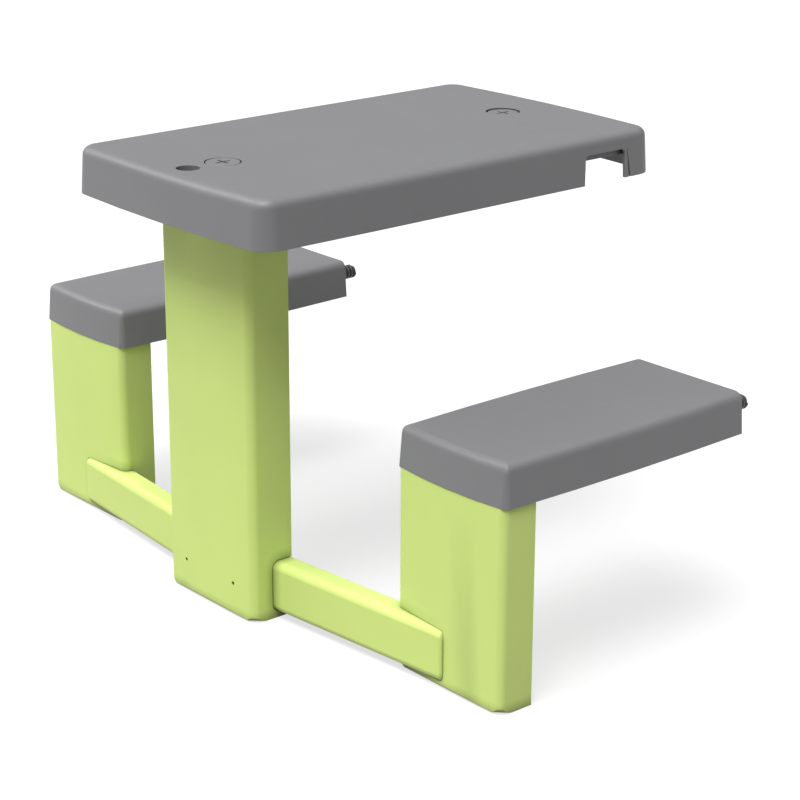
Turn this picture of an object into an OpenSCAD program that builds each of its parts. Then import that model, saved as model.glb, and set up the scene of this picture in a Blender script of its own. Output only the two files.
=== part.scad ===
// Picnic table for small children, with two benches on one side frame.
// It stands on three legs and is screwed to a wall at its far end.
// X runs from bench to bench, Y from the free end to the wall, Z is up.
// The origin is on the floor, under the middle of the whole part.

/* [Table top] */
// Width of the table top at the foot of its skirt
table_w = 340; // [320:1:380]
// Length of the table top from the free end to the far end
table_l = 561; // [540:1:620]
// Height of the table top above the floor
table_h = 491; // [450:1:560]
// Depth of the table top with its skirt
top_depth = 51; // [48:1:60]
// Wall of the table top
top_wall = 4; // [3:0.5:5]
// Radius of the table top's upper edge
top_edge_r = 10; // [8:0.5:12]
// Radius of the table top's corners in plan
top_corner_r = 22; // [20:1:30]
// How far the table top's ends swell out in the middle
top_end_bow = 7; // [4:0.5:9]
// How far the table top's long sides swell out in the middle
top_side_bow = 2; // [1:0.5:4]
// How far the skirt flares out from top to bottom
top_flare = 2.5; // [1:0.5:3]
// Length of the notch for the wall, along the table
notch_l = 63; // [50:1:70]
// Distance from the notch to the far end
notch_from_end = 53; // [46:1:70]
// Height of the notch above the foot of the skirt
notch_h = 32.5; // [28:0.5:33]
// How far the notch's near side leans from foot to top
notch_lean = 2; // [1:0.5:4]
// Radius of the notch's upper corners
notch_r = 5; // [4:0.5:9]
// Width of the relief slit in the far skirt, at its foot
slit_w = 2.6; // [2:0.1:4]
// How far the relief slit leans towards the notch
slit_lean = 2.2; // [1:0.1:3]
// Distance from the notch to the relief slit
slit_inset = 6; // [5:0.5:9]
// Diameter of the hole for a pole
pole_d = 25; // [20:1:28]
// Distance from the free end to the pole hole's axis
pole_from_end = 38.8; // [32:0.1:39]
// Length of the pole hole's tube
pole_tube_l = 38; // [30:1:40]
// Distance from the free end to the front table screw
front_screw_from_end = 83; // [82:0.5:86]
// Distance from the far end to the rear table screw
rear_screw_from_end = 82; // [80:0.5:92]

/* [Ribs] */
// Thickness of every stiffening rib
rib_t = 2.5; // [2:0.5:3]
// Depth of the ribs under the table top
top_rib_h = 22; // [16:1:23]
// Depth of the ribs under the benches
bench_rib_h = 14; // [10:1:18]
// Depth of the ribs inside the legs
leg_rib_h = 14; // [10:1:16]

/* [Benches] */
// Width of a bench at the foot of its skirt
bench_w = 168; // [164:1:180]
// Length of a bench
bench_l = 342.5; // [320:0.5:360]
// Height of a bench above the floor
bench_h = 264; // [240:1:290]
// Depth of a bench with its skirt
bench_depth = 44.5; // [43.5:0.5:55]
// Wall of a bench
bench_wall = 4; // [3:0.5:4.5]
// Distance from the table's middle to a bench's middle
bench_x = 327; // [310:1:350]
// Distance from the table's free end to the bench's free end
bench_setback = 106; // [100:0.5:120]
// Radius of a bench's upper edge
bench_edge_r = 9; // [7:0.5:11]
// Radius of a bench's corners at its free end
bench_corner_r = 7; // [6:0.5:16]
// How far a bench's free end swells out in the middle
bench_end_bow = 5; // [5:0.5:8]
// How far a bench's long sides swell out in the middle
bench_side_bow = 3.5; // [0.5:0.5:4]
// How far a bench's skirt flares out from top to bottom
bench_flare = 2.5; // [1:0.5:3]

/* [Centre leg] */
// Width of the centre leg
leg_w = 155; // [140:1:170]
// Depth of the centre leg
leg_d = 55.5; // [54:0.5:64]
// Distance from the table's free end to the centre leg's front
leg_setback = 51.5; // [51.5:0.5:60]
// How far the centre leg's front swells out in the middle
leg_bow = 3; // [1:0.5:4]
// Wall of every leg
leg_wall = 4; // [3:0.5:4.5]
// Radius of the centre leg's front edges
leg_edge_r = 9; // [8:0.5:14]
// Radius of the legs' front edges at the floor
foot_r = 7.5; // [5:0.5:7.5]
// Radius of the legs' front corners at the floor
foot_corner_r = 10; // [6:0.5:12]

/* [Bench legs] */
// Width of a bench leg
side_leg_w = 157; // [150:1:160]
// Depth of a bench leg
side_leg_d = 46.4; // [45:0.1:52]
// Distance from the bench's free end to the bench leg's front
side_leg_setback = 0.8; // [0.5:0.1:4]
// How far a bench leg's front swells out in the middle
side_leg_bow = 4; // [1:0.5:4]
// Radius of a bench leg's front edges
side_leg_edge_r = 7.5; // [7:0.5:9]

/* [Crossbars] */
// Thickness of a crossbar from front to back
bar_t = 25.5; // [22:0.5:25.5]
// Distance from the centre leg's front to the bar's front, at the leg's side
bar_setback = 29.5; // [26:0.5:30]
// How far the bar's tip stands out of the bench leg's front
bar_proud = 3.3; // [3:0.1:6]
// Distance from the bench's middle to the bar's tip
bar_tip_inset = 3; // [0:0.5:20]
// Height of a crossbar
bar_h = 58; // [54:0.5:66]
// Distance from the floor to the bar
bar_lift = 8; // [7.5:0.5:14]
// Wall of a crossbar
bar_wall = 3.5; // [3:0.5:4]
// Radius of the bar's front edges
bar_edge_r = 9; // [5:0.5:11]
// Radius of the bar's edges at its tip
bar_tip_r = 4; // [2:0.5:4]
// Distance from the table's middle to the bar's inner end
bar_root_x = 26; // [22:1:30]

/* [Plastic screws] */
// Diameter of a large plastic screw's head
head_d = 37; // [34:0.5:38]
// Thickness of a large plastic screw's head
head_t = 6; // [5:0.5:6.5]
// Diameter of a large plastic screw's thread
thread_d = 17.2; // [16.8:0.1:18]
// Diameter of the plain neck under the head
neck_d = 16.4; // [15:0.1:16.4]
// Diameter at the bottom of the thread
core_d = 13; // [11:0.1:13.5]
// Distance from one thread ridge to the next
thread_pitch = 5; // [4:0.1:5]
// Length of a large plastic screw under its head
shank_l = 40; // [36:0.5:40]
// Length of the plain neck under the head
neck_l = 8; // [6:0.5:18]
// Span of the cross slot in a large plastic screw
slot_span = 18; // [14:0.5:20]
// Width of the cross slot
slot_w = 2.4; // [1.5:0.1:3]
// Depth of the cross slot
slot_depth = 3.5; // [1.5:0.1:4]
// How far the rear table screw is sunk below the table's surface
rear_sink = 1.4; // [1:0.1:3]
// Distance between the two wall screws of a bench
wall_screw_pitch = 97; // [80:1:105]
// Distance from the bench's surface down to the wall screws' axis
wall_screw_drop = 24.2; // [23.5:0.1:25]

/* [Steel screws] */
// Diameter of a steel screw
steel_d = 3.8; // [3:0.1:4.2]
// Diameter of a steel screw's head
steel_head_d = 7.8; // [7:0.1:8.5]
// Thickness of a steel screw's head
steel_head_t = 2.6; // [2:0.1:3]
// Distance from the table's middle to a steel screw in the centre leg
leg_screw_x = 43; // [40:0.5:50]
// Height of the steel screws in the centre leg
leg_screw_z = 38; // [36:0.5:44]

/* [Hidden] */
$fn = 48;

// Colours
grey = [0.57, 0.57, 0.58];
dark_grey = [0.38, 0.38, 0.39];
lime = [0.80, 0.90, 0.53];
steel = [0.62, 0.62, 0.60];

// Overrun of every cut, and the gap between pieces that fit each other
cut = 2;
fit_gap = 0.3;
// Radial clearance of a screw in its hole or nut thread
screw_play = 0.4;
// Gap round a crossbar where it enters the centre leg
slot_gap = 0.6;
// Gap round a screw's head in its well
well_gap = 1.1;
// Clearance of a tapping screw in its boss
thread_play = 0.1;

// Flat steps in one rounded corner, along one side and over one edge
corner_steps = 8;
side_steps = 4;
edge_steps = 5;

// Places along Y
free_end = -table_l / 2;
far_end = table_l / 2;
leg_front = free_end + leg_setback;
leg_back = leg_front + leg_d;
bench_front = free_end + bench_setback;
bench_back = bench_front + bench_l;
side_leg_front = bench_front + side_leg_setback;
notch_far = far_end - notch_from_end;
notch_near = notch_far - notch_l;
pole_y = free_end + pole_from_end;

// Places along Z
skirt_foot = table_h - top_depth;
top_ceiling = table_h - top_wall;
bench_foot = bench_h - bench_depth;
bench_ceiling = bench_h - bench_wall;

// Wells of the two table screws
well_r = head_d / 2 + well_gap;
well_floor_t = 4;
well_wall = 3.5;
front_screw_y = free_end + front_screw_from_end;
rear_screw_y = far_end - rear_screw_from_end;
front_head_z = table_h - head_t;
rear_head_z = table_h - head_t - rear_sink;
leg_top = front_head_z - well_floor_t;

// The nut boss under the centre leg's top plate
nut_r = 15;
nut_l = 35;

// Wall screws
wall_screw_z = bench_h - wall_screw_drop;
head_play = 0.2;

// Places of the steel screws
bar_screw_shares = [0.27, 0.73];
top_rib_shares = [-0.93, -0.62, -0.31, 0, 0.31, 0.62, 0.93];
bench_screw_spread_share = 0.6;
boss_r = 5.5;
bore_r = steel_d / 2 + thread_play;
pocket_wall = 3;
pocket_back = side_leg_front + bar_t + fit_gap;
bar_tip_x = bench_x - bar_tip_inset;
side_leg_inner = bench_x - side_leg_w / 2;
steel_reach = 16;

// Line of a crossbar's front, as a function of the distance from the middle
bar_start_y = leg_front + bar_setback;
bar_end_y = side_leg_front - bar_proud;
bar_top = bar_lift + bar_h;
function bar_share(x) = (x - leg_w / 2) / (bar_tip_x - leg_w / 2);
function bar_front(x) = bar_start_y + (bar_end_y - bar_start_y) * bar_share(x);

// Points of a quarter circle from angle a on
function corner(cx, cy, r, a) = [
    for (i = [0 : corner_steps])
        [cx + r * cos(a + 90 * i / corner_steps), cy + r * sin(a + 90 * i / corner_steps)]
];

// Points between two corners, without the corners
function side(p, q) = [for (i = [1 : side_steps - 1]) p + (q - p) * i / side_steps];

// A box with a radius for its two near corners and one for its two far corners
function rounded_box(w, near, far, r_near, r_far) =
    let (
        c1 = corner(w - r_far, far - r_far, r_far, 0),
        c2 = corner(r_far - w, far - r_far, r_far, 90),
        c3 = corner(r_near - w, near + r_near, r_near, 180),
        c4 = corner(w - r_near, near + r_near, r_near, 270),
        e = corner_steps
    )
    concat(c1, side(c1[e], c2[0]), c2, side(c2[e], c3[0]), c3, side(c3[e], c4[0]), c4, side(c4[e], c1[0]));

// The same box with its sides and ends swollen outwards
function swollen_box(w, near, far, bow_w, bow_near, bow_far, r_near, r_far) =
    let (
        a = w - bow_w,
        mid = (near + far) / 2,
        half = (far - near) / 2,
        box = rounded_box(a, near + bow_near, far - bow_far, r_near, r_far)
    )
    [
        for (p = box)
            let (
                v = (p.y - mid) / half,
                bow = v > 0 ? bow_far : bow_near,
                end_bow = sign(v) * bow / (1 - bow / half),
                u = p.x / a
            )
            [p.x * (1 + bow_w / a * (1 - v * v)), p.y + end_bow * abs(v) * (1 - u * u)]
    ];

// A solid through rings of as many points each, listed from low to high
module loft(rings) {
    n = len(rings[0]);
    sides = [
        for (k = [0 : len(rings) - 2])
            for (i = [0 : n - 1])
                let (a = k * n + i, b = k * n + (i + 1) % n)
                each [[a, a + n, b + n], [a, b + n, b]]
    ];
    bottom = [for (i = [0 : n - 1]) i];
    top = [for (i = [n - 1 : -1 : 0]) (len(rings) - 1) * n + i];
    polyhedron([for (ring = rings) each ring], concat([bottom], sides, [top]));
}

// Height and inset of each ring over a rounded upper edge
function edge_rings(high, flare, r) = [
    for (i = [0 : edge_steps])
        [high - r * (1 - sin(90 * i / edge_steps)), flare + r * (1 - cos(90 * i / edge_steps))]
];

// The table top's body, shrunk by a wall for its hollow
module top_body(wall, low) {
    rings = concat([[low, 0]], edge_rings(table_h - wall, top_flare, top_edge_r - wall));
    loft([
        for (r = rings)
            let (d = wall + r[1], cr = top_corner_r - d)
            [
                for (p = swollen_box(table_w / 2 - d, free_end + d, far_end - d,
                    top_side_bow, top_end_bow, top_end_bow, cr, cr))
                    [p.x, p.y, r[0]]
            ]
    ]);
}

// A bench's body about its own middle, square and plain at its far end
module bench_body(wall, low) {
    rings = concat([[low, 0]], edge_rings(bench_h - wall, bench_flare, bench_edge_r - wall));
    loft([
        for (r = rings)
            let (d = wall + r[1])
            [
                for (p = swollen_box(bench_w / 2 - d, bench_front + d, bench_back - wall,
                    bench_side_bow, bench_end_bow, 0, max(bench_corner_r - d, bench_wall / 4),
                    bench_wall / 4))
                    [p.x, p.y, r[0]]
            ]
    ]);
}

// A leg's outline with its swollen front at y = 0
function leg_outline(w, d, edge_r, bow) =
    swollen_box(w / 2, 0, d, 0, bow, 0, edge_r, leg_wall / 4);

// Cuts away what lies outside a rounded lower edge of some length along X
module foot_cut(l, r) {
    translate([-l / 2 - cut, 0, 0])
        rotate([90, 0, 90])
            linear_extrude(l + 2 * cut)
                polygon(concat([[-cut, r]], corner(r, r, r, 180), [[r, -cut], [-cut, -cut]]));
}

// A leg's outer form, with its front at y = 0
module leg_body(w, d, h, edge_r, bow) {
    outline = leg_outline(w, d, edge_r, bow);
    // How far the front corners reach along their diagonals
    reach = max([for (p = outline) p.x - p.y]) * sin(45);
    difference() {
        linear_extrude(h)
            polygon(outline);
        foot_cut(w, foot_r);
        for (s = [-1, 1])
            rotate([0, 0, s * 45])
                translate([s * (w / 2 + bow) * cos(45), -reach, 0])
                    foot_cut(2 * (edge_r + foot_corner_r), foot_corner_r);
    }
}

// A leg's hollow, open at the back
module leg_hollow(w, d, h, edge_r, bow) {
    translate([0, leg_wall, leg_wall])
        linear_extrude(h - 2 * leg_wall)
            polygon(leg_outline(w - 2 * leg_wall, d, edge_r - leg_wall, bow));
}

// A cylinder along +Y from the point given
module rod_y(p, r, l) {
    translate(p)
        rotate([-90, 0, 0])
            cylinder(r = r, h = l);
}

// A box given by its lowest and highest corners
module block(low, high) {
    translate(low)
        cube(high - low);
}

// One large plastic screw below z = 0, with its head above, grown for a nut thread
module ridged_shank(play) {
    r_out = thread_d / 2 + play;
    r_in = core_d / 2 + play;
    r_neck = neck_d / 2 + play;
    land = thread_pitch / 4 + play;
    slope = thread_pitch / 6;
    ridges = floor((shank_l - neck_l - 2 * slope) / thread_pitch);
    tip = -shank_l - play;
    // The last ridge is the lead-in and lower than the others
    r_last = (r_in + r_out) / 2 - thread_pitch / 20;
    rotate_extrude()
        polygon(concat(
            [[0, 0], [r_neck, 0], [r_neck, -neck_l], [r_in, -neck_l - slope]],
            [
                for (i = [ridges - 1 : -1 : 0])
                    let (z = (i + 1 / 2) * thread_pitch - shank_l, r = i > 0 ? r_out : r_last)
                    each [
                        [r_in, z + land / 2 + slope], [r, z + land / 2],
                        [r, z - land / 2], [r_in, z - land / 2 - slope]
                    ]
            ],
            [[r_in, tip + slope], [r_in - slope, tip], [0, tip]]
        ));
}

module plastic_screw() {
    difference() {
        union() {
            ridged_shank(0);
            cylinder(d = head_d, h = head_t);
        }
        for (a = [0, 90])
            rotate([0, 0, a])
                translate([-slot_span / 2, -slot_w / 2, head_t - slot_depth])
                    cube([slot_span, slot_w, slot_depth + cut]);
    }
}

// A steel screw along -Y from the underside of its head
module steel_screw(p, reach) {
    tip_l = steel_d;
    translate(p)
        rotate([90, 0, 0]) {
            cylinder(d = steel_d, h = reach - tip_l);
            translate([0, 0, reach - tip_l])
                cylinder(d1 = steel_d, d2 = steel_d / 4, h = tip_l);
            difference() {
                translate([0, 0, -steel_head_t])
                    cylinder(d = steel_head_d, h = steel_head_t);
                for (a = [0, 90])
                    rotate([0, 0, a])
                        translate([-steel_d / 2, -steel_d / 10, -steel_head_t - cut])
                            cube([steel_d, steel_d / 5, cut + steel_head_t / 2]);
            }
        }
}

// Ribs under the table top
module top_ribs() {
    foot = top_ceiling - top_rib_h;
    for (k = top_rib_shares)
        translate([k * table_w / 2, 0, 0])
            block([-rib_t / 2, free_end, foot], [rib_t / 2, far_end, table_h]);
    first = leg_back + leg_wall + rib_t;
    last = notch_near - rib_t - fit_gap;
    bays = 6;
    for (k = [1 : bays - 1])
        translate([0, first + (last - first) * k / bays, 0])
            block([-table_w / 2, -rib_t / 2, foot], [table_w / 2, rib_t / 2, table_h]);
    // Stop wall beside the notch
    block([-table_w / 2, last, skirt_foot + top_wall], [table_w / 2, last + rib_t, table_h]);
}

// The tube round the pole hole, grown for the bay in the centre leg that clears it
module pole_tube(grow) {
    translate([0, pole_y, table_h - pole_tube_l - grow])
        cylinder(r = pole_d / 2 + top_wall + grow, h = pole_tube_l);
}

// What stands in the table top's hollow
module top_inside() {
    difference() {
        union() {
            top_ribs();
            block([-leg_w / 2 - fit_gap - rib_t, leg_front - fit_gap - rib_t, top_ceiling - 2 * top_rib_h],
                [leg_w / 2 + fit_gap + rib_t, leg_back + fit_gap + rib_t, table_h]);
        }
        block([-leg_w / 2 - fit_gap, leg_front - fit_gap, 0],
            [leg_w / 2 + fit_gap, leg_back + fit_gap, top_ceiling]);
        // Bay for the pole below its tube
        translate([0, pole_y, 0])
            cylinder(r = pole_d / 2 + top_wall, h = table_h - pole_tube_l);
    }
    pole_tube(0);
    for (k = [-1, 0, 1])
        block([k * leg_w / 4 - rib_t / 2, leg_front, leg_top],
            [k * leg_w / 4 + rib_t / 2, leg_back, table_h]);
    translate([0, front_screw_y, leg_top])
        cylinder(r = well_r + well_wall, h = top_depth);
    translate([0, rear_screw_y, rear_head_z - well_floor_t])
        cylinder(r = well_r + well_wall, h = top_depth);
}

// Cuts an outline along Y and Z through both side skirts
module cut_skirts() {
    for (s = [-1, 1])
        translate([s * table_w / 2, notch_near, skirt_foot - cut])
            rotate([90, 0, 90])
                linear_extrude(2 * (top_wall + top_flare + top_side_bow), center = true)
                    children();
}

// The notch's outline
module notch() {
    h = notch_h + cut;
    r = notch_r;
    polygon([
        [0, 0], [notch_l, 0], [notch_l, h - r], [notch_l - r, h],
        [notch_lean + r, h], [notch_lean, h - r]
    ]);
    for (y = [notch_lean + r, notch_l - r])
        translate([y, h - r])
            circle(r);
}

// The outline of the tapering relief slit beyond the notch
module slit() {
    translate([notch_l + slit_inset, 0])
        polygon([[0, 0], [slit_w, 0], [-slit_lean, notch_h + cut]]);
}

module table_top() {
    color(grey)
        difference() {
            top_body(0, skirt_foot);
            difference() {
                top_body(top_wall, skirt_foot - cut);
                top_inside();
            }
            cut_skirts() {
                notch();
                slit();
            }
            translate([0, front_screw_y, front_head_z])
                cylinder(r = well_r, h = head_t + cut);
            translate([0, front_screw_y, 0])
                cylinder(r = thread_d / 2 + screw_play, h = table_h);
            translate([0, rear_screw_y, rear_head_z])
                cylinder(r = well_r, h = head_t + rear_sink + cut);
            translate([0, rear_screw_y, 0])
                cylinder(r = thread_d / 2 + screw_play, h = table_h);
            translate([0, pole_y, 0])
                cylinder(d = pole_d, h = table_h + cut);
        }
}

module front_table_screw() {
    color(grey)
        translate([0, front_screw_y, front_head_z])
            plastic_screw();
}

module rear_table_screw() {
    color(grey)
        translate([0, rear_screw_y, rear_head_z])
            plastic_screw();
}

// One crossbar's outer form on the right, grown by a gap for what it sits in
function bar_section(x, grow, inset) =
    let (
        near = bar_front(x) - grow + inset,
        far = bar_front(x) + bar_t + grow,
        low = bar_lift - grow + inset,
        high = bar_top + grow - inset,
        r = bar_edge_r,
        r2 = bar_wall / 2
    )
    [
        for (p = concat(corner(far - r2, high - r2, r2, 0), corner(near + r, high - r, r, 90),
            corner(near + r, low + r, r, 180), corner(far - r2, low + r2, r2, 270)))
            [x, p.x, p.y]
    ];

module bar_body(grow) {
    end = bar_tip_x + grow;
    stations = concat(
        [[bar_root_x - grow, 0]],
        [for (a = [0 : 30 : 90]) [end - bar_tip_r * (1 - sin(a)), bar_tip_r * (1 - cos(a))]]
    );
    loft([for (s = stations) bar_section(s[0], grow, s[1])]);
}

// The hollow of a crossbar, open at the back
module bar_hollow() {
    r = bar_edge_r - bar_wall;
    loft([
        for (x = [bar_root_x + bar_wall, bar_tip_x - bar_wall])
            let (
                near = bar_front(x) + bar_wall,
                far = bar_front(x) + bar_t + cut,
                low = bar_lift + bar_wall,
                high = bar_top - bar_wall,
                r2 = bar_wall / 4
            )
            [
                for (p = concat(corner(far - r2, high - r2, r2, 0), corner(near + r, high - r, r, 90),
                    corner(near + r, low + r, r, 180), corner(far - r2, low + r2, r2, 270)))
                    [x, p.x, p.y]
            ]
    ]);
}

function bar_screw_x(k) = side_leg_inner + leg_wall
    + (bar_tip_x - bar_wall - side_leg_inner - leg_wall) * bar_screw_shares[k];
bar_screw_z = bar_lift + bar_h / 2;
leg_screw_head_y = bar_front(leg_screw_x) + bar_wall + boss_r;

module crossbar() {
    ribs = 5;
    first = leg_w / 2;
    last = side_leg_inner;
    difference() {
        bar_body(0);
        difference() {
            bar_hollow();
            for (i = [0 : ribs])
                translate([first + (last - first) * i / ribs, 0, 0])
                    block([-rib_t / 2, free_end, 0], [rib_t / 2, 0, table_h]);
            block([bar_root_x, free_end, bar_screw_z - rib_t / 2],
                [bar_tip_x, bar_front(leg_w / 2) + bar_t - bar_wall, bar_screw_z + rib_t / 2]);
            rod_y([leg_screw_x, leg_front, leg_screw_z], boss_r, leg_screw_head_y - leg_front);
            for (k = [0, 1])
                rod_y([bar_screw_x(k), leg_front, bar_screw_z], boss_r, pocket_back - leg_front);
        }
        rod_y([leg_screw_x, leg_front, leg_screw_z], bore_r, leg_d);
        rod_y([leg_screw_x, leg_screw_head_y, leg_screw_z], boss_r + thread_play, leg_d);
        for (k = [0, 1])
            rod_y([bar_screw_x(k), pocket_back - steel_reach, bar_screw_z], bore_r, leg_d);
    }
    for (k = [0, 1])
        difference() {
            rod_y([bar_screw_x(k), bar_front(bar_screw_x(k)) + bar_wall, bar_screw_z], boss_r,
                pocket_back - fit_gap - bar_front(bar_screw_x(k)) - bar_wall);
            rod_y([bar_screw_x(k), pocket_back - steel_reach, bar_screw_z], bore_r, leg_d);
        }
}

module right_crossbar() {
    color(lime)
        crossbar();
}

module left_crossbar() {
    color(lime)
        mirror([1, 0, 0])
            crossbar();
}

// Shelves and one upright rib inside a leg, from its front wall
module leg_ribs(w, front, low, high, bays, last) {
    back = front + leg_wall + leg_rib_h;
    for (k = [0 : last])
        translate([0, 0, low + (high - low) * k / bays])
            block([-w / 2, front, -rib_t / 2], [w / 2, back, rib_t / 2]);
    for (k = [-1, 1])
        block([k * w / 6 - rib_t / 2, front, low], [k * w / 6 + rib_t / 2, back, high]);
}

leg_boss_end = bar_front(leg_screw_x - boss_r);

// The slot for the right crossbar in the leg's side, open at the back
module leg_slot() {
    bar_body(slot_gap);
    block([leg_w / 2 - leg_wall - cut, bar_front(leg_w / 2) + bar_t - bar_edge_r, bar_lift - slot_gap],
        [leg_w / 2 + cut, leg_back + cut, bar_top + slot_gap]);
}

module centre_leg() {
    low = bar_top + leg_wall;
    high = leg_top - nut_l - leg_wall;
    color(lime)
        difference() {
            translate([0, leg_front, 0])
                leg_body(leg_w, leg_d, leg_top, leg_edge_r, leg_bow);
            difference() {
                translate([0, leg_front, 0])
                    leg_hollow(leg_w, leg_d, leg_top, leg_edge_r, leg_bow);
                leg_ribs(leg_w, leg_front, low, high, 5, 5);
                translate([0, front_screw_y, leg_top - nut_l])
                    cylinder(r = nut_r, h = nut_l);
                // Webs that carry the nut boss
                block([-leg_w / 2, front_screw_y - rib_t / 2, leg_top - nut_l / 2],
                    [leg_w / 2, front_screw_y + rib_t / 2, leg_top]);
                block([-rib_t / 2, leg_front, leg_top - nut_l], [rib_t / 2, front_screw_y, leg_top]);
                for (s = [-1, 1])
                    rod_y([s * leg_screw_x, leg_front, leg_screw_z], boss_r, leg_boss_end - leg_front);
            }
            translate([0, front_screw_y, front_head_z])
                ridged_shank(screw_play);
            for (s = [-1, 1])
                rod_y([s * leg_screw_x, leg_front - cut, leg_screw_z], bore_r, leg_d);
            leg_slot();
            mirror([1, 0, 0])
                leg_slot();
            pole_tube(fit_gap);
        }
}

side_leg_back = side_leg_front + side_leg_d;
bench_screw_y = (side_leg_front + side_leg_back) / 2;
bench_screw_dx = side_leg_w / 2 * bench_screw_spread_share;

// The right bench leg, with the pocket that takes the crossbar
module bench_leg() {
    pocket_end = bar_tip_x + fit_gap;
    pocket_top = bar_top + fit_gap;
    difference() {
        translate([bench_x, side_leg_front, 0])
            leg_body(side_leg_w, side_leg_d, bench_foot, side_leg_edge_r, side_leg_bow);
        difference() {
            translate([bench_x, side_leg_front, 0])
                leg_hollow(side_leg_w, side_leg_d, bench_foot, side_leg_edge_r, side_leg_bow);
            translate([bench_x, 0, 0])
                leg_ribs(side_leg_w, side_leg_front, pocket_top + rib_t / 2, bench_foot, 2, 1);
            // Back, end and roof of the pocket
            block([side_leg_inner, pocket_back, 0],
                [pocket_end + rib_t, pocket_back + pocket_wall, pocket_top + rib_t]);
            block([pocket_end, side_leg_front, 0],
                [pocket_end + rib_t, pocket_back + rib_t, pocket_top + rib_t]);
            block([side_leg_inner, side_leg_front, pocket_top],
                [pocket_end + rib_t, pocket_back + rib_t, pocket_top + rib_t]);
        }
        bar_body(fit_gap);
        for (k = [0, 1])
            rod_y([bar_screw_x(k), pocket_back - cut, bar_screw_z], bore_r, leg_d);
        for (s = [-1, 1])
            translate([bench_x + s * bench_screw_dx, bench_screw_y, bench_foot - 2 * leg_wall])
                cylinder(r = bore_r, h = 2 * leg_wall + cut);
    }
}

module right_bench_leg() {
    color(lime)
        bench_leg();
}

module left_bench_leg() {
    color(lime)
        mirror([1, 0, 0])
            bench_leg();
}

// A bench about its own middle
module bench() {
    foot = bench_ceiling - bench_rib_h;
    last = bench_back - bench_wall - 3 * head_t;
    first = side_leg_back + leg_wall;
    bays = 4;
    difference() {
        bench_body(0, bench_foot);
        difference() {
            bench_body(bench_wall, bench_foot - cut);
            for (k = [-1, 0, 1])
                block([k * bench_w / 4 - rib_t / 2, bench_front, foot],
                    [k * bench_w / 4 + rib_t / 2, last, bench_h]);
            for (k = [0 : bays])
                translate([0, first + (last - first) * k / bays, 0])
                    block([-bench_w / 2, -rib_t / 2, foot], [bench_w / 2, rib_t / 2, bench_h]);
            for (s = [-1, 1])
                translate([s * bench_screw_dx, bench_screw_y, bench_foot])
                    cylinder(r = boss_r, h = bench_depth);
        }
        for (s = [-1, 1]) {
            translate([s * bench_screw_dx, bench_screw_y, bench_foot - cut])
                cylinder(r = bore_r, h = steel_reach + cut);
            rod_y([s * wall_screw_pitch / 2, bench_back - 2 * bench_wall, wall_screw_z],
                thread_d / 2 + screw_play, 3 * bench_wall);
        }
    }
}

module right_bench() {
    color(grey)
        translate([bench_x, 0, 0])
            bench();
}

module left_bench() {
    color(grey)
        translate([-bench_x, 0, 0])
            bench();
}

// A wall screw, with its head against the inside of the bench's far end
module wall_screw(x) {
    color(dark_grey)
        translate([x, bench_back - bench_wall - head_play, wall_screw_z])
            rotate([90, 0, 0])
                plastic_screw();
}

module right_outer_wall_screw() wall_screw(bench_x + wall_screw_pitch / 2);
module right_inner_wall_screw() wall_screw(bench_x - wall_screw_pitch / 2);
module left_inner_wall_screw() wall_screw(wall_screw_pitch / 2 - bench_x);
module left_outer_wall_screw() wall_screw(-wall_screw_pitch / 2 - bench_x);

module centre_leg_screws() {
    color(steel)
        for (s = [-1, 1])
            steel_screw([s * leg_screw_x, leg_screw_head_y, leg_screw_z],
                leg_screw_head_y - leg_front - 2 * leg_wall);
}

module bar_screws(side) {
    color(steel)
        for (k = [0, 1])
            steel_screw([side * bar_screw_x(k), pocket_back + pocket_wall, bar_screw_z],
                steel_reach + pocket_wall - fit_gap);
}

module right_bar_screws() bar_screws(1);
module left_bar_screws() bar_screws(-1);

// Screws from a bench leg's top plate up into the bench's bosses
module bench_screws(x) {
    color(steel)
        for (s = [-1, 1])
            translate([x + s * bench_screw_dx, bench_screw_y, bench_foot - leg_wall])
                rotate([-90, 0, 0])
                    steel_screw([0, 0, 0], steel_reach + leg_wall - fit_gap);
}

module right_bench_screws() bench_screws(bench_x);
module left_bench_screws() bench_screws(-bench_x);

table_top();
front_table_screw();
rear_table_screw();
centre_leg();
right_crossbar();
left_crossbar();
right_bench_leg();
left_bench_leg();
right_bench();
left_bench();
right_outer_wall_screw();
right_inner_wall_screw();
left_inner_wall_screw();
left_outer_wall_screw();
centre_leg_screws();
right_bar_screws();
left_bar_screws();
right_bench_screws();
left_bench_screws();
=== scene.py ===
"""Kids picnic table: a grey moulded top and benches on lime moulded legs, with all their screws."""
import math

import bmesh
import bpy
from mathutils import Matrix, Vector


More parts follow.
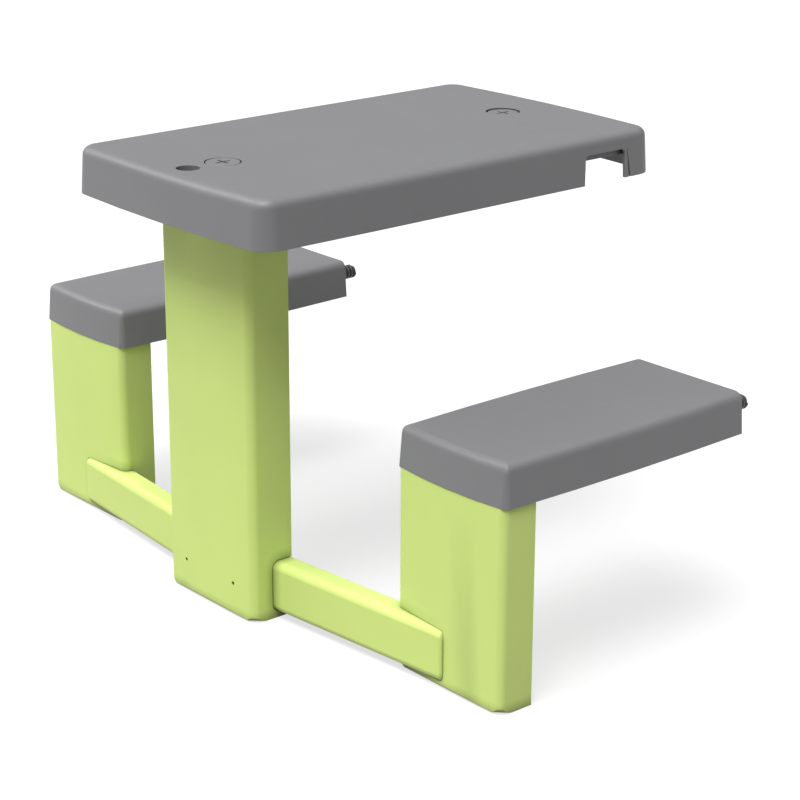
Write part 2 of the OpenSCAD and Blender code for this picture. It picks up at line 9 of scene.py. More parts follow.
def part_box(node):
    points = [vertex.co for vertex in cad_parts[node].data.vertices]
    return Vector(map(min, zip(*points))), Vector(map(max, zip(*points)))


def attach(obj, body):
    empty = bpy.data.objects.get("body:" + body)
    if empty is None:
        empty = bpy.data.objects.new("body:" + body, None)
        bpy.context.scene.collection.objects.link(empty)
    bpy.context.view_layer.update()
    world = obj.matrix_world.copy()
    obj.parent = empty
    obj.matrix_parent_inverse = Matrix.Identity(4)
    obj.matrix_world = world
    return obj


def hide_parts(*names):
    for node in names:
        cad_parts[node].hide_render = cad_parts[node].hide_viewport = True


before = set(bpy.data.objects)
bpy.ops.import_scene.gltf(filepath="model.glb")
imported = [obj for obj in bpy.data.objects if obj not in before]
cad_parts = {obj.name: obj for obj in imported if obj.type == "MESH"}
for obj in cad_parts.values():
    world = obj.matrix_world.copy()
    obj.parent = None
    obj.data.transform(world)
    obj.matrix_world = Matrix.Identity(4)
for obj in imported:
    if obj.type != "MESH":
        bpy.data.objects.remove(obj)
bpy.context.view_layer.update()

bl_info = {
    "name": "Kids picnic table",
    "version": (1, 0, 0),
    "blender": (4, 5, 0),
    "location": "3D View > Sidebar > Picnic table",
    "description": "Dresses the packed picnic table in moulded plastic and sets its stage",
    "category": "Object",
}

MM = 0.001
STEEL_HEAD_RADIUS = 3.9 * MM
STEEL_HEAD_DEPTH = 2.6 * MM
MATERIALS = {}


# Colours

def linear(*channels):
    """A colour given in 0 to 255 as seen on screen, in the linear values that shaders take."""
    shares = [c / 255 for c in channels]
    return tuple(s / 12.92 if s <= 0.04045 else ((s + 0.055) / 1.055) ** 2.4 for s in shares)


# Settings

class PlasticSettings(bpy.types.PropertyGroup):
    """Colours and finish of the moulded plastic"""

    grey: bpy.props.FloatVectorProperty(
        name="Grey", description="Colour of the table top and the benches",
        subtype="COLOR", size=3, min=0, max=1, default=linear(126, 126, 128))
    lime: bpy.props.FloatVectorProperty(
        name="Lime", description="Colour of the legs and the crossbars",
        subtype="COLOR", size=3, min=0, max=1, default=linear(220, 241, 139))
    # The dark grey is the benches' grey darkened as painted shade, for the wall screws that look darker
    # only because they sit in shadow.
    dark: bpy.props.FloatVectorProperty(
        name="Dark grey", description="Colour of the wall screws",
        subtype="COLOR", size=3, min=0, max=1, default=linear(78, 78, 80))
    roughness: bpy.props.FloatProperty(
        name="Roughness", description="How dull the plastic is",
        subtype="FACTOR", min=0.1, max=0.9, default=0.46)
    grey_shine: bpy.props.FloatProperty(
        name="Grey shine", description="Strength of the highlights on the grey pieces",
        subtype="FACTOR", min=0, max=1, default=0.5)
    lime_shine: bpy.props.FloatProperty(
        name="Lime shine", description="Strength of the highlights on the lime pieces",
        subtype="FACTOR", min=0, max=1, default=0.25)
    # The crevice rim is painted shade: it darkens the plastic's own colour near every crease, hole and
    # join where shade falls, and is no dirt.
    crevice: bpy.props.FloatProperty(
        name="Crevice", description="Width of the dark rim that dirt and shade leave in every crevice",
        unit="LENGTH", min=1 * MM, max=40 * MM, default=14 * MM)
    grain: bpy.props.FloatProperty(
        name="Grain", description="Size of the fine grain left by the mould",
        unit="LENGTH", min=0.2 * MM, max=5 * MM, default=0.9 * MM)
    edge: bpy.props.FloatProperty(
        name="Edge radius", description="Width of the soft edge on every moulded corner",
        unit="LENGTH", min=0.1 * MM, max=1 * MM, default=0.45 * MM)


class ScrewSettings(bpy.types.PropertyGroup):
    """Sizes of the large plastic screws"""

    crest: bpy.props.FloatProperty(
        name="Crest radius", description="Radius over the thread",
        unit="LENGTH", min=7 * MM, max=9 * MM, default=8.6 * MM)
    root: bpy.props.FloatProperty(
        name="Root radius", description="Radius at the bottom of the thread",
        unit="LENGTH", min=5 * MM, max=7 * MM, default=6.5 * MM)
    pitch: bpy.props.FloatProperty(
        name="Pitch", description="Rise of the thread in one turn",
        unit="LENGTH", min=3 * MM, max=6 * MM, default=5 * MM)
    neck: bpy.props.FloatProperty(
        name="Neck", description="Length of the plain neck under the head",
        unit="LENGTH", min=6 * MM, max=18 * MM, default=8 * MM)
    neck_radius: bpy.props.FloatProperty(
        name="Neck radius", description="Radius of the plain neck",
        unit="LENGTH", min=7.5 * MM, max=8.2 * MM, default=8.2 * MM)
    shank: bpy.props.FloatProperty(
        name="Shank", description="Length under the head",
        unit="LENGTH", min=30 * MM, max=45 * MM, default=40 * MM)
    head: bpy.props.FloatProperty(
        name="Head radius", description="Radius of the round head",
        unit="LENGTH", min=15 * MM, max=20 * MM, default=18.5 * MM)
    head_depth: bpy.props.FloatProperty(
        name="Head thickness", description="Thickness of the round head",
        unit="LENGTH", min=4 * MM, max=8 * MM, default=6 * MM)
    slot_span: bpy.props.FloatProperty(
        name="Slot span", description="Length of each arm pair of the cross slot",
        unit="LENGTH", min=10 * MM, max=22 * MM, default=18 * MM)
    slot_width: bpy.props.FloatProperty(
        name="Slot width", description="Width of the cross slot",
        unit="LENGTH", min=1 * MM, max=4 * MM, default=2.4 * MM)
    slot_depth: bpy.props.FloatProperty(
        name="Slot depth", description="Depth of the cross slot",
        unit="LENGTH", min=1 * MM, max=4 * MM, default=3.5 * MM)


class StageSettings(bpy.types.PropertyGroup):
    """Light, floor and camera"""

    sky: bpy.props.FloatProperty(
        name="Sky", description="Even light from all round",
        min=0, max=2, default=0.27)
    key: bpy.props.FloatProperty(
        name="Key light", description="Strength of the main light, from high above the free end",
        min=0, max=10, default=2.1)
    near: bpy.props.FloatProperty(
        name="Near light", description="Strength of the light over the camera",
        min=0, max=10, default=1.75)
    left: bpy.props.FloatProperty(
        name="Left light", description="Strength of the light from the left",
        min=0, max=10, default=0.9)
    floor: bpy.props.FloatVectorProperty(
        name="Floor", description="Colour of the floor as a mirror of the light",
        subtype="COLOR", size=3, min=0, max=1, default=(0.3, 0.3, 0.3))
    floor_glow: bpy.props.FloatProperty(
        name="Floor glow", description="Light that the floor adds for the camera, so that it looks white",
        min=0, max=1, default=0.7)
    azimuth: bpy.props.FloatProperty(
        name="Azimuth", description="Turn of the camera from the free end towards the right bench",
        subtype="ANGLE", default=math.radians(49.4596))
    elevation: bpy.props.FloatProperty(
        name="Elevation", description="Height of the camera over the level",
        subtype="ANGLE", default=math.radians(19.1832))
    roll: bpy.props.FloatProperty(
        name="Roll", description="Turn of the picture",
        subtype="ANGLE", default=math.radians(0.2348))
    distance: bpy.props.FloatProperty(
        name="Distance", description="Distance from the camera to the point it looks at",
        unit="LENGTH", default=2563.3 * MM)
    target: bpy.props.FloatVectorProperty(
        name="Target", description="The point that the camera looks at",
        subtype="TRANSLATION", size=3, default=(19.81 * MM, 28.37 * MM, 184.34 * MM))
    lens: bpy.props.FloatProperty(
        name="Lens", description="Focal length on a sensor 36 mm wide",
        default=101.53)


class TableSettings(bpy.types.PropertyGroup):
    """All settings of the picnic table"""

    plastic: bpy.props.PointerProperty(type=PlasticSettings)
    screw: bpy.props.PointerProperty(type=ScrewSettings)
    stage: bpy.props.PointerProperty(type=StageSettings)


def settings():
    return bpy.context.scene.picnic_table


# Materials

def new_material(name):
    """A material with an empty tree, its nodes and its links."""
    material = bpy.data.materials.new(name)
    material.use_nodes = True
    nodes = material.node_tree.nodes
    nodes.clear()
    output = nodes.new("ShaderNodeOutputMaterial")
    shader = nodes.new("ShaderNodeBsdfPrincipled")
    material.node_tree.links.new(shader.outputs["BSDF"], output.inputs["Surface"])
    return material, nodes, material.node_tree.links, shader


def noise(nodes, links, coordinates, size, detail, roughness=0.5):
    """A noise texture on object coordinates, with features of about the given size in metres."""
    node = nodes.new("ShaderNodeTexNoise")
    node.inputs["Scale"].default_value = 1 / size
    node.inputs["Detail"].default_value = detail
    node.inputs["Roughness"].default_value = roughness
    links.new(coordinates, node.inputs["Vector"])
    return node.outputs["Fac"]


def spread(nodes, links, factor, low, high):
    """The middle half of a noise, stretched from low to high."""
    node = nodes.new("ShaderNodeMapRange")
    node.inputs["From Min"].default_value = 0.25
    node.inputs["From Max"].default_value = 0.75
    node.inputs["To Min"].default_value = low
    node.inputs["To Max"].default_value = high
    links.new(factor, node.inputs["Value"])
    return node.outputs["Result"]


def bump(nodes, links, height, strength, depth):
    """Raises a surface by a noise, over a depth in metres."""
    node = nodes.new("ShaderNodeBump")
    node.inputs["Strength"].default_value = strength
    node.inputs["Distance"].default_value = depth
    links.new(height, node.inputs["Height"])
    return node


def moulded_plastic(slot, colour, shine):
    """Satin moulded plastic: a fine grain, broad soft waves, slightly uneven colour and gloss, and
    painted shade that darkens the colour in every crevice.
    """
    darkest, lightest, uneven_gloss, refraction = 0.975, 1.02, 0.03, 1.49
    cloud_size, gloss_size, wave_size = 90 * MM, 25 * MM, 14 * MM
    wave_depth, grain_depth = 0.25 * MM, 0.03 * MM
    plastic = settings().plastic
    material, nodes, links, shader = new_material("moulded_" + slot)
    where = nodes.new("ShaderNodeTexCoord").outputs["Object"]

    tone = nodes.new("ShaderNodeMix")
    tone.data_type = "RGBA"
    tone.inputs["A"].default_value = (*(c * darkest for c in colour), 1)
    tone.inputs["B"].default_value = (*(min(c * lightest, 1) for c in colour), 1)
    cloud = noise(nodes, links, where, cloud_size, 3)
    links.new(spread(nodes, links, cloud, 0, 1), tone.inputs["Factor"])
    # Painted shade: ambient occlusion darkens the base colour within the crevice width of other surfaces,
    # in creases, holes and gaps between parts.
    crevice = nodes.new("ShaderNodeAmbientOcclusion")
    crevice.inputs["Distance"].default_value = plastic.crevice
    links.new(tone.outputs["Result"], crevice.inputs["Color"])
    links.new(crevice.outputs["Color"], shader.inputs["Base Color"])
    shader.inputs["Specular IOR Level"].default_value = shine

    gloss = noise(nodes, links, where, gloss_size, 4)
    low, high = plastic.roughness - uneven_gloss, plastic.roughness + uneven_gloss
    links.new(spread(nodes, links, gloss, low, high), shader.inputs["Roughness"])
    shader.inputs["IOR"].default_value = refraction

    waves = bump(nodes, links, noise(nodes, links, where, wave_size, 2), 0.12, wave_depth)
    fine = noise(nodes, links, where, plastic.grain, 3, 0.6)
    grain = bump(nodes, links, fine, 0.10, grain_depth)
    links.new(waves.outputs["Normal"], grain.inputs["Normal"])
    links.new(grain.outputs["Normal"], shader.inputs["Normal"])
    return material


def zinc_steel():
    """Zinc plated steel, faintly cloudy and brushed by the screwdriver."""
    cloud_size, scratch_size, scratch_depth = 2 * MM, 0.4 * MM, 0.02 * MM
    smoothest, roughest = 0.28, 0.42
    material, nodes, links, shader = new_material("zinc_plated_steel")
    where = nodes.new("ShaderNodeTexCoord").outputs["Object"]
    shader.inputs["Base Color"].default_value = (*linear(186, 188, 190), 1)
    shader.inputs["Metallic"].default_value = 1
    cloud = noise(nodes, links, where, cloud_size, 4)
    links.new(spread(nodes, links, cloud, smoothest, roughest), shader.inputs["Roughness"])
    fine = noise(nodes, links, where, scratch_size, 3)
    scratches = bump(nodes, links, fine, 0.15, scratch_depth)
    links.new(scratches.outputs["Normal"], shader.inputs["Normal"])
    return material


def material(slot):
    """The material of a slot, made when it is first asked for."""
    plastic = settings().plastic
    if slot not in MATERIALS:
        if slot == "steel":
            MATERIALS[slot] = zinc_steel()
        else:
            colour = getattr(plastic, slot.split("_")[0])
            shine = plastic.lime_shine if slot == "lime_plastic" else plastic.grey_shine
            MATERIALS[slot] = moulded_plastic(slot, colour, shine)
    return MATERIALS[slot]


# Meshes

def add_object(name, mesh):
    """A new object at the origin, with its place in its mesh."""
    obj = bpy.data.objects.new(name, mesh)
    bpy.context.scene.collection.objects.link(obj)
    return obj


def mesh_from(bm, name):
    mesh = bpy.data.meshes.new(name)
    bm.to_mesh(mesh)
    bm.free()
    return mesh


def settle(obj):
    """Puts the result of an object's modifiers into a plain mesh of its own."""
    graph = bpy.context.evaluated_depsgraph_get()
    mesh = bpy.data.meshes.new_from_object(obj.evaluated_get(graph), depsgraph=graph)
    obj.modifiers.clear()
    obj.data = mesh
    return obj


def soften(obj, width, angle=math.radians(38), segments=2):
    """Rounds the sharp edges and lets the flat faces keep flat normals."""
    for polygon in obj.data.polygons:
        polygon.use_smooth = True
    bevel = obj.modifiers.new("Edge", "BEVEL")
    bevel.limit_method = "ANGLE"
    bevel.angle_limit = angle
    bevel.width = width
    bevel.segments = segments
    bevel.use_clamp_overlap = False
    bevel.miter_outer = "MITER_ARC"
    normals = obj.modifiers.new("Normals", "WEIGHTED_NORMAL")
    normals.keep_sharp = True
    normals.weight = 100
    return settle(obj)


def is_lattice(face):
    """Whether a face may run round the cells between ribs, and close them once its edges are soft."""
    few, many = 4, 8
    facing, square, unevenness = 0.9, 0.99999, 0.001 * MM
    start = face.verts[0].co
    flat = all(abs((vert.co - start).dot(face.normal)) < unevenness for vert in face.verts)
    if max(face.normal.y, -face.normal.z) > facing:
        # The backs of the legs and bars and the undersides of the benches and the top are open
        return flat and len(face.verts) > few
    return len(face.verts) > many and max(abs(c) for c in face.normal) > square


def merged_copy(node, name):
    """A copy of a CAD node's mesh, with its points merged and its flat faces joined."""
    nearest, flattest = 0.002 * MM, math.radians(0.4)
    bm = bmesh.new()
    bm.from_mesh(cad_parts[node].data)
    bmesh.ops.remove_doubles(bm, verts=bm.verts, dist=nearest)
    bmesh.ops.dissolve_limit(bm, angle_limit=flattest, use_dissolve_boundaries=False,
                             verts=bm.verts, edges=bm.edges, delimit=set())
    # Most faces stay whole, as their creases would show on the fronts
    bm.normal_update()
    bmesh.ops.triangulate(bm, faces=[face for face in bm.faces if is_lattice(face)])
    return mesh_from(bm, name)


def moulding(node, body, slot):
    """A moulded piece: the CAD node's own form with soft edges, in its plastic."""
    mesh = merged_copy(node, node + "_moulding")
    mesh.materials.clear()
    mesh.materials.append(material(slot))
    obj = soften(add_object(node + "_moulding", mesh), settings().plastic.edge)
    hand_over(obj, node, body)
    return obj


def hand_over(obj, node, body):
    """Lets a finished piece stand for its CAD node and move with its body."""
    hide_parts(node)
    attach(obj, body)


# Screws

def lathe(profile, steps):
    """A closed solid turned about Z from points (radius, height), listed from the top down."""
    bm = bmesh.new()
    rings = []
    for radius, height in profile:
        if radius == 0:
            rings.append([bm.verts.new((0, 0, height))])
            continue
        rings.append([
            bm.verts.new((radius * math.cos(a), radius * math.sin(a), height))
            for a in (2 * math.pi * i / steps for i in range(steps))
        ])
    for upper, lower in zip(rings, rings[1:]):
        for i in range(steps):
            j = (i + 1) % steps
            corners = [upper[i % len(upper)], lower[i % len(lower)]]
            corners += [lower[j % len(lower)], upper[j % len(upper)]]
            bm.faces.new(list(dict.fromkeys(corners)))
    bmesh.ops.recalc_face_normals(bm, faces=bm.faces)
    return bm


def rounded(radius, height, r, quarter, steps=5):
    """Points over an outer edge of radius r.

    Quarter 0 goes from the top to the side, and quarter 1 from the side to the bottom.
    """
    points = []
    for i in range(steps + 1):
        a = math.pi / 2 * i / steps
        if quarter == 0:
            points.append((radius - r + r * math.sin(a), height - r + r * math.cos(a)))
        else:
            points.append((radius - r + r * math.cos(a), height + r - r * math.sin(a)))
    return points


def add_box(bm, low, high):
    """Adds a closed box given by its lowest and highest corners."""
    size = Vector(high) - Vector(low)
    middle = (Vector(high) + Vector(low)) / 2
    bmesh.ops.create_cube(bm, size=1, matrix=Matrix.Translation(middle) @ Matrix.Diagonal((*size, 1)))


def cut(obj, cutter_bm):
    """Cuts a solid out of a piece."""
    cutter = add_object("cutter", mesh_from(cutter_bm, "cutter"))
    boolean = obj.modifiers.new("Cut", "BOOLEAN")
    boolean.operation = "DIFFERENCE"
    boolean.solver = "EXACT"
    boolean.use_self = True
    boolean.object = cutter
    settle(obj)
    bpy.data.objects.remove(cutter)


def cross_slot(top, span, width, depth):
    """The cutter for a cross slot in a head whose top is at the given height."""
    bm = bmesh.new()
    over = depth
    add_box(bm, (-span / 2, -width / 2, top - depth), (span / 2, width / 2, top + over))
    add_box(bm, (-width / 2, -span / 2, top - depth), (width / 2, span / 2, top + over))
    return bm


def socket(tree, name, kind):
    """A named input of a geometry tree."""
    tree.interface.new_socket(name, in_out="INPUT", socket_type=kind)


def geometry_tree(name):
    """An empty geometry tree, with its ends."""
    tree = bpy.data.node_groups.new(name, "GeometryNodeTree")
    tree.interface.new_socket("Geometry", in_out="INPUT", socket_type="NodeSocketGeometry")
    tree.interface.new_socket("Geometry", in_out="OUTPUT", socket_type="NodeSocketGeometry")
    return tree, tree.nodes.new("NodeGroupInput"), tree.nodes.new("NodeGroupOutput")


def calculate(tree, operation, a, b):
    """A sum of two values, each a socket or a number."""
    node = tree.nodes.new("ShaderNodeMath")
    node.operation = operation
    for slot, value in zip(node.inputs, (a, b)):
        if isinstance(value, (int, float)):
            slot.default_value = value
        else:
            tree.links.new(value, slot)
    return node.outputs[0]


def thread_tree():
    """Winds a ridge round a shank: a spiral, faded out at both ends, with a flat-topped profile."""
    foot_share, crest_share = 0.62, 0.26
    least_height, name = 0.02, "Thread"
    if name in bpy.data.node_groups:
        return bpy.data.node_groups[name]
    tree, start, end = geometry_tree(name)
    links = tree.links
    for label, kind in (
        ("Crest Radius", "NodeSocketFloat"), ("Root Radius", "NodeSocketFloat"),
        ("Pitch", "NodeSocketFloat"), ("Turns", "NodeSocketFloat"),
        ("Lowest Point", "NodeSocketFloat"), ("Steps", "NodeSocketInt"),
        ("Material", "NodeSocketMaterial"),
    ):
        socket(tree, label, kind)
    value = start.outputs

    spiral = tree.nodes.new("GeometryNodeCurveSpiral")
    links.new(value["Steps"], spiral.inputs["Resolution"])
    links.new(value["Turns"], spiral.inputs["Rotations"])
    links.new(value["Root Radius"], spiral.inputs["Start Radius"])
    links.new(value["Root Radius"], spiral.inputs["End Radius"])
    links.new(calculate(tree, "MULTIPLY", value["Turns"], value["Pitch"]), spiral.inputs["Height"])

    upright = tree.nodes.new("GeometryNodeSetCurveNormal")
    upright.mode = "Z_UP"
    links.new(spiral.outputs["Curve"], upright.inputs["Curve"])

    # The ridge rises out of the shank over the first and the last half turn
    along = tree.nodes.new("GeometryNodeSplineParameter")
    from_start = calculate(tree, "MULTIPLY", along.outputs["Factor"], value["Turns"])
    from_end = calculate(tree, "SUBTRACT", value["Turns"], from_start)
    fade = calculate(tree, "MULTIPLY", calculate(tree, "MINIMUM", from_start, from_end), 2)
    height = calculate(tree, "MINIMUM", calculate(tree, "ADD", fade, least_height), 1)
    size = tree.nodes.new("GeometryNodeSetCurveRadius")
    links.new(upright.outputs["Curve"], size.inputs["Curve"])
    links.new(height, size.inputs["Radius"])

    depth = calculate(tree, "SUBTRACT", value["Crest Radius"], value["Root Radius"])
    profile = tree.nodes.new("GeometryNodeCurvePrimitiveQuadrilateral")
    profile.mode = "TRAPEZOID"
    links.new(calculate(tree, "MULTIPLY", value["Pitch"], foot_share), profile.inputs["Bottom Width"])
    links.new(calculate(tree, "MULTIPLY", value["Pitch"], crest_share), profile.inputs["Top Width"])
    links.new(calculate(tree, "MULTIPLY", depth, 2), profile.inputs["Height"])
    profile.inputs["Offset"].default_value = 0
    turn = tree.nodes.new("GeometryNodeTransform")
    turn.inputs["Rotation"].default_value = (0, 0, -math.pi / 2)
    links.new(profile.outputs["Curve"], turn.inputs["Geometry"])

    sweep = tree.nodes.new("GeometryNodeCurveToMesh")
    sweep.inputs["Fill Caps"].default_value = True
    links.new(size.outputs["Curve"], sweep.inputs["Curve"])
    links.new(turn.outputs["Geometry"], sweep.inputs["Profile Curve"])

    place = tree.nodes.new("GeometryNodeTransform")
    offset = tree.nodes.new("ShaderNodeCombineXYZ")
    links.new(value["Lowest Point"], offset.inputs["Z"])
    links.new(offset.outputs["Vector"], place.inputs["Translation"])
    links.new(sweep.outputs["Mesh"], place.inputs["Geometry"])

    join = tree.nodes.new("GeometryNodeJoinGeometry")
    links.new(value["Geometry"], join.inputs["Geometry"])
    links.new(place.outputs["Geometry"], join.inputs["Geometry"])
    finish_tree(tree, join.outputs["Geometry"], start, end)
    return tree


def finish_tree(tree, geometry, start, end):
    """Makes instances real, sets the material and ends the tree."""
    realize = tree.nodes.new("GeometryNodeRealizeInstances")
    paint = tree.nodes.new("GeometryNodeSetMaterial")
    tree.links.new(geometry, realize.inputs["Geometry"])
    tree.links.new(realize.outputs["Geometry"], paint.inputs["Geometry"])
    tree.links.new(start.outputs["Material"], paint.inputs["Material"])
    tree.links.new(paint.outputs["Geometry"], end.inputs["Geometry"])


def set_tree(obj, tree, **values):
    """Adds a geometry tree to a piece, sets its named inputs and settles it."""
    modifier = obj.modifiers.new(tree.name, "NODES")
    modifier.node_group = tree
    names = {item.name.replace(" ", "_").lower(): item.identifier
             for item in tree.interface.items_tree if item.in_out == "INPUT"}
    for name, value in values.items():
        modifier[names[name]] = value
    return settle(obj)


def placed_points(name, places):
    """A mesh of loose points, one at each place."""
    mesh = bpy.data.meshes.new(name)
    mesh.from_pydata(places, [], [])
    return add_object(name, mesh)


def pattern_tree():
    """Sets one real copy of a fastener on every point."""
    name = "Fastener pattern"
    if name in bpy.data.node_groups:
        return bpy.data.node_groups[name]
    tree, start, end = geometry_tree(name)
    socket(tree, "Fastener", "NodeSocketObject")
    socket(tree, "Turn", "NodeSocketVector")
    socket(tree, "Material", "NodeSocketMaterial")
    info = tree.nodes.new("GeometryNodeObjectInfo")
    copies = tree.nodes.new("GeometryNodeInstanceOnPoints")
    tree.links.new(start.outputs["Fastener"], info.inputs["Object"])
    tree.links.new(start.outputs["Geometry"], copies.inputs["Points"])
    tree.links.new(info.outputs["Geometry"], copies.inputs["Instance"])
    tree.links.new(start.outputs["Turn"], copies.inputs["Rotation"])
    finish_tree(tree, copies.outputs["Instances"], start, end)
    return tree


def plastic_screw(name, slot, threaded):
    """A large plastic screw along -Z, with its head above z = 0 and a cross slot in it.

    Where it isn't threaded, it has the rings that its nut boss has grooves for.
    """
    size = settings().screw
    soft, tip_round, slot_edge = 1.2 * MM, 1.3 * MM, 0.3 * MM
    profile = [(0, size.head_depth)]
    profile += rounded(size.head, size.head_depth, soft, 0)
    profile += rounded(size.head, 0, soft / 2, 1)
    profile += [(size.neck_radius + soft / 2, 0), (size.neck_radius, -soft / 2)]
    slope = size.pitch / 6
    profile += [(size.neck_radius, -size.neck), (size.root, -size.neck - slope)]
    if not threaded:
        rings = int((size.shank - size.neck - 2 * slope) / size.pitch)
        land = size.pitch / 8
        lowest = (size.root + size.crest) / 2 - size.pitch / 20
        for i in reversed(range(rings)):
            middle = (i + 0.5) * size.pitch - size.shank
            radius = size.crest if i else lowest
            profile += [(size.root, middle + land + slope), (radius, middle + land),
                        (radius, middle - land), (size.root, middle - land - slope)]
    profile += rounded(size.root, -size.shank, tip_round, 1)
    profile += [(0, -size.shank)]
    obj = add_object(name, mesh_from(lathe(profile, 96), name))
    obj.data.materials.append(material(slot))
    cut(obj, cross_slot(size.head_depth, size.slot_span, size.slot_width, size.slot_depth))
    soften(obj, slot_edge)
    if threaded:
        turns = (size.shank - size.neck - size.pitch * 0.9) / size.pitch
        set_tree(obj, thread_tree(), crest_radius=size.crest, root_radius=size.root,
                 pitch=size.pitch, turns=turns, lowest_point=-size.shank + size.pitch * 0.55,
                 steps=72, material=material(slot))
    return obj


def steel_screw():
    """A pan head tapping screw along -Z, with its head above z = 0. Returns its object, to be copied."""
    head, thick, shank = STEEL_HEAD_RADIUS, STEEL_HEAD_DEPTH, 1.55 * MM
    crest, pitch, length = 1.88 * MM, 1.5 * MM, 18.4 * MM
    slot_span, slot_width, slot_depth, slot_edge = 4 * MM, 0.8 * MM, 1.3 * MM, 0.12 * MM
    dome = 6
    profile = [(0, thick)]
    profile += [(head * math.sin(a), thick - thick * 0.8 * (1 - math.cos(a)))
                for a in (math.pi / 2 * i / dome for i in range(1, dome + 1))]
    profile += [(head, 0), (crest, 0), (crest, -1.2 * MM), (shank, -1.6 * MM)]
    profile += [(shank, -length + 3 * MM), (0.4 * MM, -length), (0, -length)]
    obj = add_object("steel_screw", mesh_from(lathe(profile, 32), "steel_screw"))
    obj.data.materials.append(material("steel"))
    cut(obj, cross_slot(thick, slot_span, slot_width, slot_depth))
    soften(obj, slot_edge)
    return set_tree(obj, thread_tree(), crest_radius=crest, root_radius=shank, pitch=pitch,
                    turns=(length - 5 * MM) / pitch, lowest_point=-length + 2.6 * MM, steps=24,
                    material=material("steel"))


def middle(node):
    """The middle of a node's box."""
    low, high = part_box(node)
    return (Vector(low) + Vector(high)) / 2


# Operators

class PICNIC_OT_table_top(bpy.types.Operator):
    """The grey table top, with its wells, pole hole, notch and ribs"""

    bl_idname = "picnic.table_top"
    bl_label = "Table top"

    def execute(self, context):
        moulding("table_top", "frame", "grey_plastic")
        return {"FINISHED"}


class PICNIC_OT_benches(bpy.types.Operator):
    """The two grey benches"""

    bl_idname = "picnic.benches"
    bl_label = "Benches"

    def execute(self, context):
        for side in ("right", "left"):
            moulding(side + "_bench", "frame", "grey_plastic")
        return {"FINISHED"}


class PICNIC_OT_legs(bpy.types.Operator):
    """The lime centre leg and the two bench legs"""

    bl_idname = "picnic.legs"
    bl_label = "Legs"

    def execute(self, context):
        for node in ("centre_leg", "right_bench_leg", "left_bench_leg"):
            moulding(node, "frame", "lime_plastic")
        return {"FINISHED"}


class PICNIC_OT_crossbars(bpy.types.Operator):
    """The two lime crossbars between the legs"""

    bl_idname = "picnic.crossbars"
    bl_label = "Crossbars"

    def execute(self, context):
        for side in ("right", "left"):
            moulding(side + "_crossbar", "frame", "lime_plastic")
        return {"FINISHED"}


class PICNIC_OT_table_screws(bpy.types.Operator):
    """The two large screws in the table top"""

    bl_idname = "picnic.table_screws"
    bl_label = "Table screws"

    def execute(self, context):
        for end, threaded in (("front", False), ("rear", True)):
            node = end + "_table_screw"
            obj = plastic_screw(node + "_turned", "grey_plastic", threaded)
            place = middle(node)
            place.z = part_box(node)[1][2] - settings().screw.head_depth
            obj.data.transform(Matrix.Translation(place))
            hand_over(obj, node, end + "_screw")
        return {"FINISHED"}


class PICNIC_OT_wall_screws(bpy.types.Operator):
    """The four large screws whose threads stand out of the benches' far ends"""

    bl_idname = "picnic.wall_screws"
    bl_label = "Wall screws"

    def execute(self, context):
        for place in ("right_outer", "right_inner", "left_inner", "left_outer"):
            node = place + "_wall_screw"
            # The wall screws take the dark grey, which is the benches' grey with painted shade.
            obj = plastic_screw(node + "_turned", "dark_plastic", True)
            seat = middle(node)
            seat.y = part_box(node)[0][1] + settings().screw.head_depth
            obj.data.transform(Matrix.Translation(seat) @ Matrix.Rotation(math.radians(90), 4, "X"))
            hand_over(obj, node, place + "_screw")
        return {"FINISHED"}


class PICNIC_OT_steel_screws(bpy.types.Operator):
    """The small steel screws that join the legs, the crossbars and the benches"""

    bl_idname = "picnic.steel_screws"
    bl_label = "Steel screws"

    def execute(self, context):
        screw = steel_screw()
        backwards = (math.radians(-90), 0, 0)
        downwards = (math.radians(180), 0, 0)
        places = ("centre_leg", "right_bar", "left_bar", "right_bench", "left_bench")
        for node in (place + "_screws" for place in places):
            low, high = (Vector(corner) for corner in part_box(node))
            seat = middle(node)
            upright = node.endswith("bench_screws")
            if upright:
                seat.z = low.z + STEEL_HEAD_DEPTH
            else:
                seat.y = high.y - STEEL_HEAD_DEPTH
            spots = [(x, seat.y, seat.z)
                     for x in (low.x + STEEL_HEAD_RADIUS, high.x - STEEL_HEAD_RADIUS)]
            obj = placed_points(node + "_set", spots)
            set_tree(obj, pattern_tree(), fastener=screw, turn=downwards if upright else backwards,
                     material=material("steel"))
            hand_over(obj, node, "frame")
        bpy.data.objects.remove(screw)
        return {"FINISHED"}


class PICNIC_OT_stage(bpy.types.Operator):
    """The pale floor, the soft light and the camera"""

    bl_idname = "picnic.stage"
    bl_label = "Stage"

    def execute(self, context):
        stage = settings().stage
        add_camera(stage)
        add_floor(stage)
        add_sky(stage)
        above, over_camera, beside = (0.0, -0.30, 0.95), (0.24, -0.38, 0.90), (-0.72, -0.31, 0.60)
        wide, wider = math.radians(30), math.radians(40)
        add_lamp("key", stage.key, above, wider)
        add_lamp("near", stage.near, over_camera, wide)
        add_lamp("left", stage.left, beside, wide)
        return {"FINISHED"}


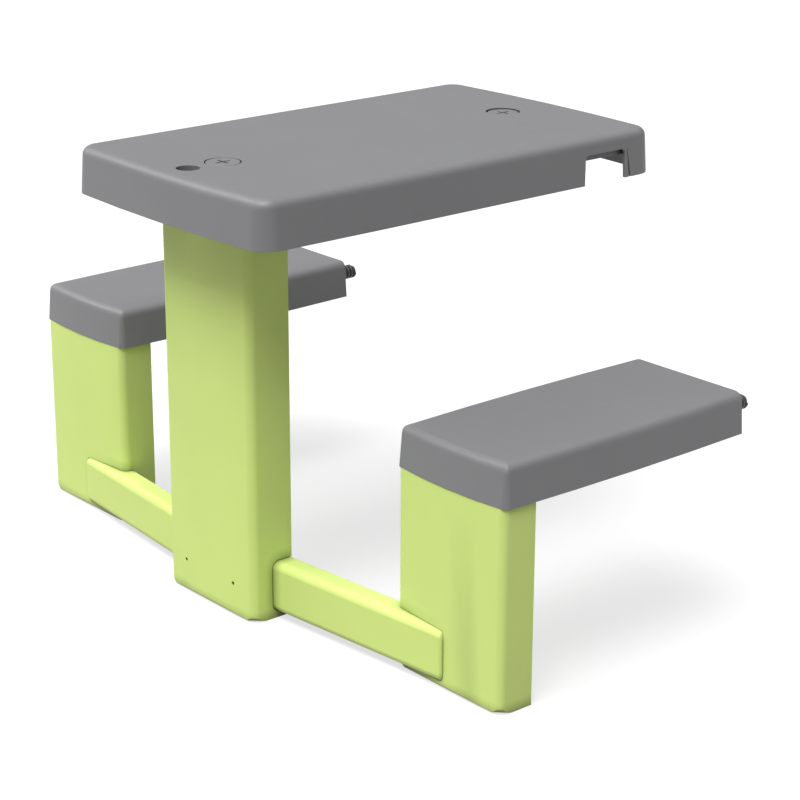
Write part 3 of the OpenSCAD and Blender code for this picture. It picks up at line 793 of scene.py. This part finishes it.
def add_camera(stage):
    """The camera, turned about its target."""
    sensor, farthest = 36, 50
    azimuth, elevation, roll = stage.azimuth, stage.elevation, stage.roll
    level = Vector((math.sin(azimuth), -math.cos(azimuth), 0))
    back = level * math.cos(elevation) + Vector((0, 0, math.sin(elevation)))
    right = Vector((math.cos(azimuth), math.sin(azimuth), 0))
    up = back.cross(right)
    side = right * math.cos(roll) + up * math.sin(roll)
    top = up * math.cos(roll) - right * math.sin(roll)
    camera = bpy.data.cameras.new("camera")
    camera.sensor_width = sensor
    camera.lens = stage.lens
    camera.clip_end = farthest
    obj = bpy.data.objects.new("camera", camera)
    turned = Matrix((side, top, back)).transposed().to_4x4()
    obj.matrix_world = Matrix.Translation(Vector(stage.target) + back * stage.distance) @ turned
    bpy.context.scene.collection.objects.link(obj)
    bpy.context.scene.camera = obj


def add_floor(stage):
    """A wide pale floor, which the camera sees as white wherever no shadow falls."""
    reach, parts = 40, 8
    bm = bmesh.new()
    bmesh.ops.create_grid(bm, x_segments=parts, y_segments=parts, size=reach)
    floor = add_object("floor", mesh_from(bm, "floor"))
    paint, nodes, links, shader = new_material("floor")
    nodes.remove(shader)
    output = nodes["Material Output"]
    matt = nodes.new("ShaderNodeBsdfDiffuse")
    matt.inputs["Color"].default_value = (*stage.floor, 1)
    glow = nodes.new("ShaderNodeEmission")
    seen = nodes.new("ShaderNodeLightPath")
    both = nodes.new("ShaderNodeAddShader")
    share = nodes.new("ShaderNodeMath")
    share.operation = "MULTIPLY"
    share.inputs[1].default_value = stage.floor_glow
    rays = nodes.new("ShaderNodeMath")
    rays.operation = "MAXIMUM"
    links.new(seen.outputs["Is Camera Ray"], rays.inputs[0])
    links.new(seen.outputs["Is Glossy Ray"], rays.inputs[1])
    links.new(rays.outputs[0], share.inputs[0])
    links.new(share.outputs[0], glow.inputs["Strength"])
    links.new(matt.outputs[0], both.inputs[0])
    links.new(glow.outputs[0], both.inputs[1])
    links.new(both.outputs[0], output.inputs["Surface"])
    floor.data.materials.append(paint)


def add_sky(stage):
    """An even sky: white to the camera, softer as a light."""
    world = bpy.data.worlds.new("sky")
    world.use_nodes = True
    nodes, links = world.node_tree.nodes, world.node_tree.links
    nodes.clear()
    output = nodes.new("ShaderNodeOutputWorld")
    background = nodes.new("ShaderNodeBackground")
    seen = nodes.new("ShaderNodeLightPath")
    strength = nodes.new("ShaderNodeMapRange")
    strength.inputs["To Min"].default_value = stage.sky
    strength.inputs["To Max"].default_value = 1
    links.new(seen.outputs["Is Camera Ray"], strength.inputs["Value"])
    links.new(strength.outputs["Result"], background.inputs["Strength"])
    links.new(background.outputs[0], output.inputs["Surface"])
    bpy.context.scene.world = world


def add_lamp(name, strength, towards, spread_angle):
    """A sun lamp with a wide disc, for soft shadows. towards points from the table to the lamp."""
    lamp = bpy.data.lights.new(name, "SUN")
    lamp.energy = strength
    lamp.angle = spread_angle
    obj = bpy.data.objects.new(name, lamp)
    obj.matrix_world = Vector(towards).to_track_quat("Z", "Y").to_matrix().to_4x4()
    bpy.context.scene.collection.objects.link(obj)


# The add-on

PIECES = (
    PICNIC_OT_table_top, PICNIC_OT_benches, PICNIC_OT_legs, PICNIC_OT_crossbars,
    PICNIC_OT_table_screws, PICNIC_OT_wall_screws, PICNIC_OT_steel_screws,
)


class PICNIC_PT_panel(bpy.types.Panel):
    """Lists the settings and the pieces"""

    bl_idname = "PICNIC_PT_panel"
    bl_label = "Picnic table"
    bl_space_type = "VIEW_3D"
    bl_region_type = "UI"
    bl_category = "Picnic table"

    def draw(self, context):
        table = context.scene.picnic_table
        for group in (table.plastic, table.screw, table.stage):
            box = self.layout.box()
            for name in group.__annotations__:
                box.prop(group, name)
        for operator in (PICNIC_OT_stage,) + PIECES:
            self.layout.operator(operator.bl_idname)


SETTINGS = (PlasticSettings, ScrewSettings, StageSettings, TableSettings)
CLASSES = SETTINGS + (PICNIC_OT_stage,) + PIECES + (PICNIC_PT_panel,)


def register():
    for cls in CLASSES:
        bpy.utils.register_class(cls)
    bpy.types.Scene.picnic_table = bpy.props.PointerProperty(type=TableSettings)


def unregister():
    del bpy.types.Scene.picnic_table
    for cls in reversed(CLASSES):
        bpy.utils.unregister_class(cls)


def main():
    register()
    bpy.context.scene.view_settings.view_transform = "Standard"
    bpy.ops.picnic.stage()
    for operator in PIECES:
        getattr(bpy.ops.picnic, operator.bl_idname.split(".")[1])()


if __name__ == "__main__":
    main()
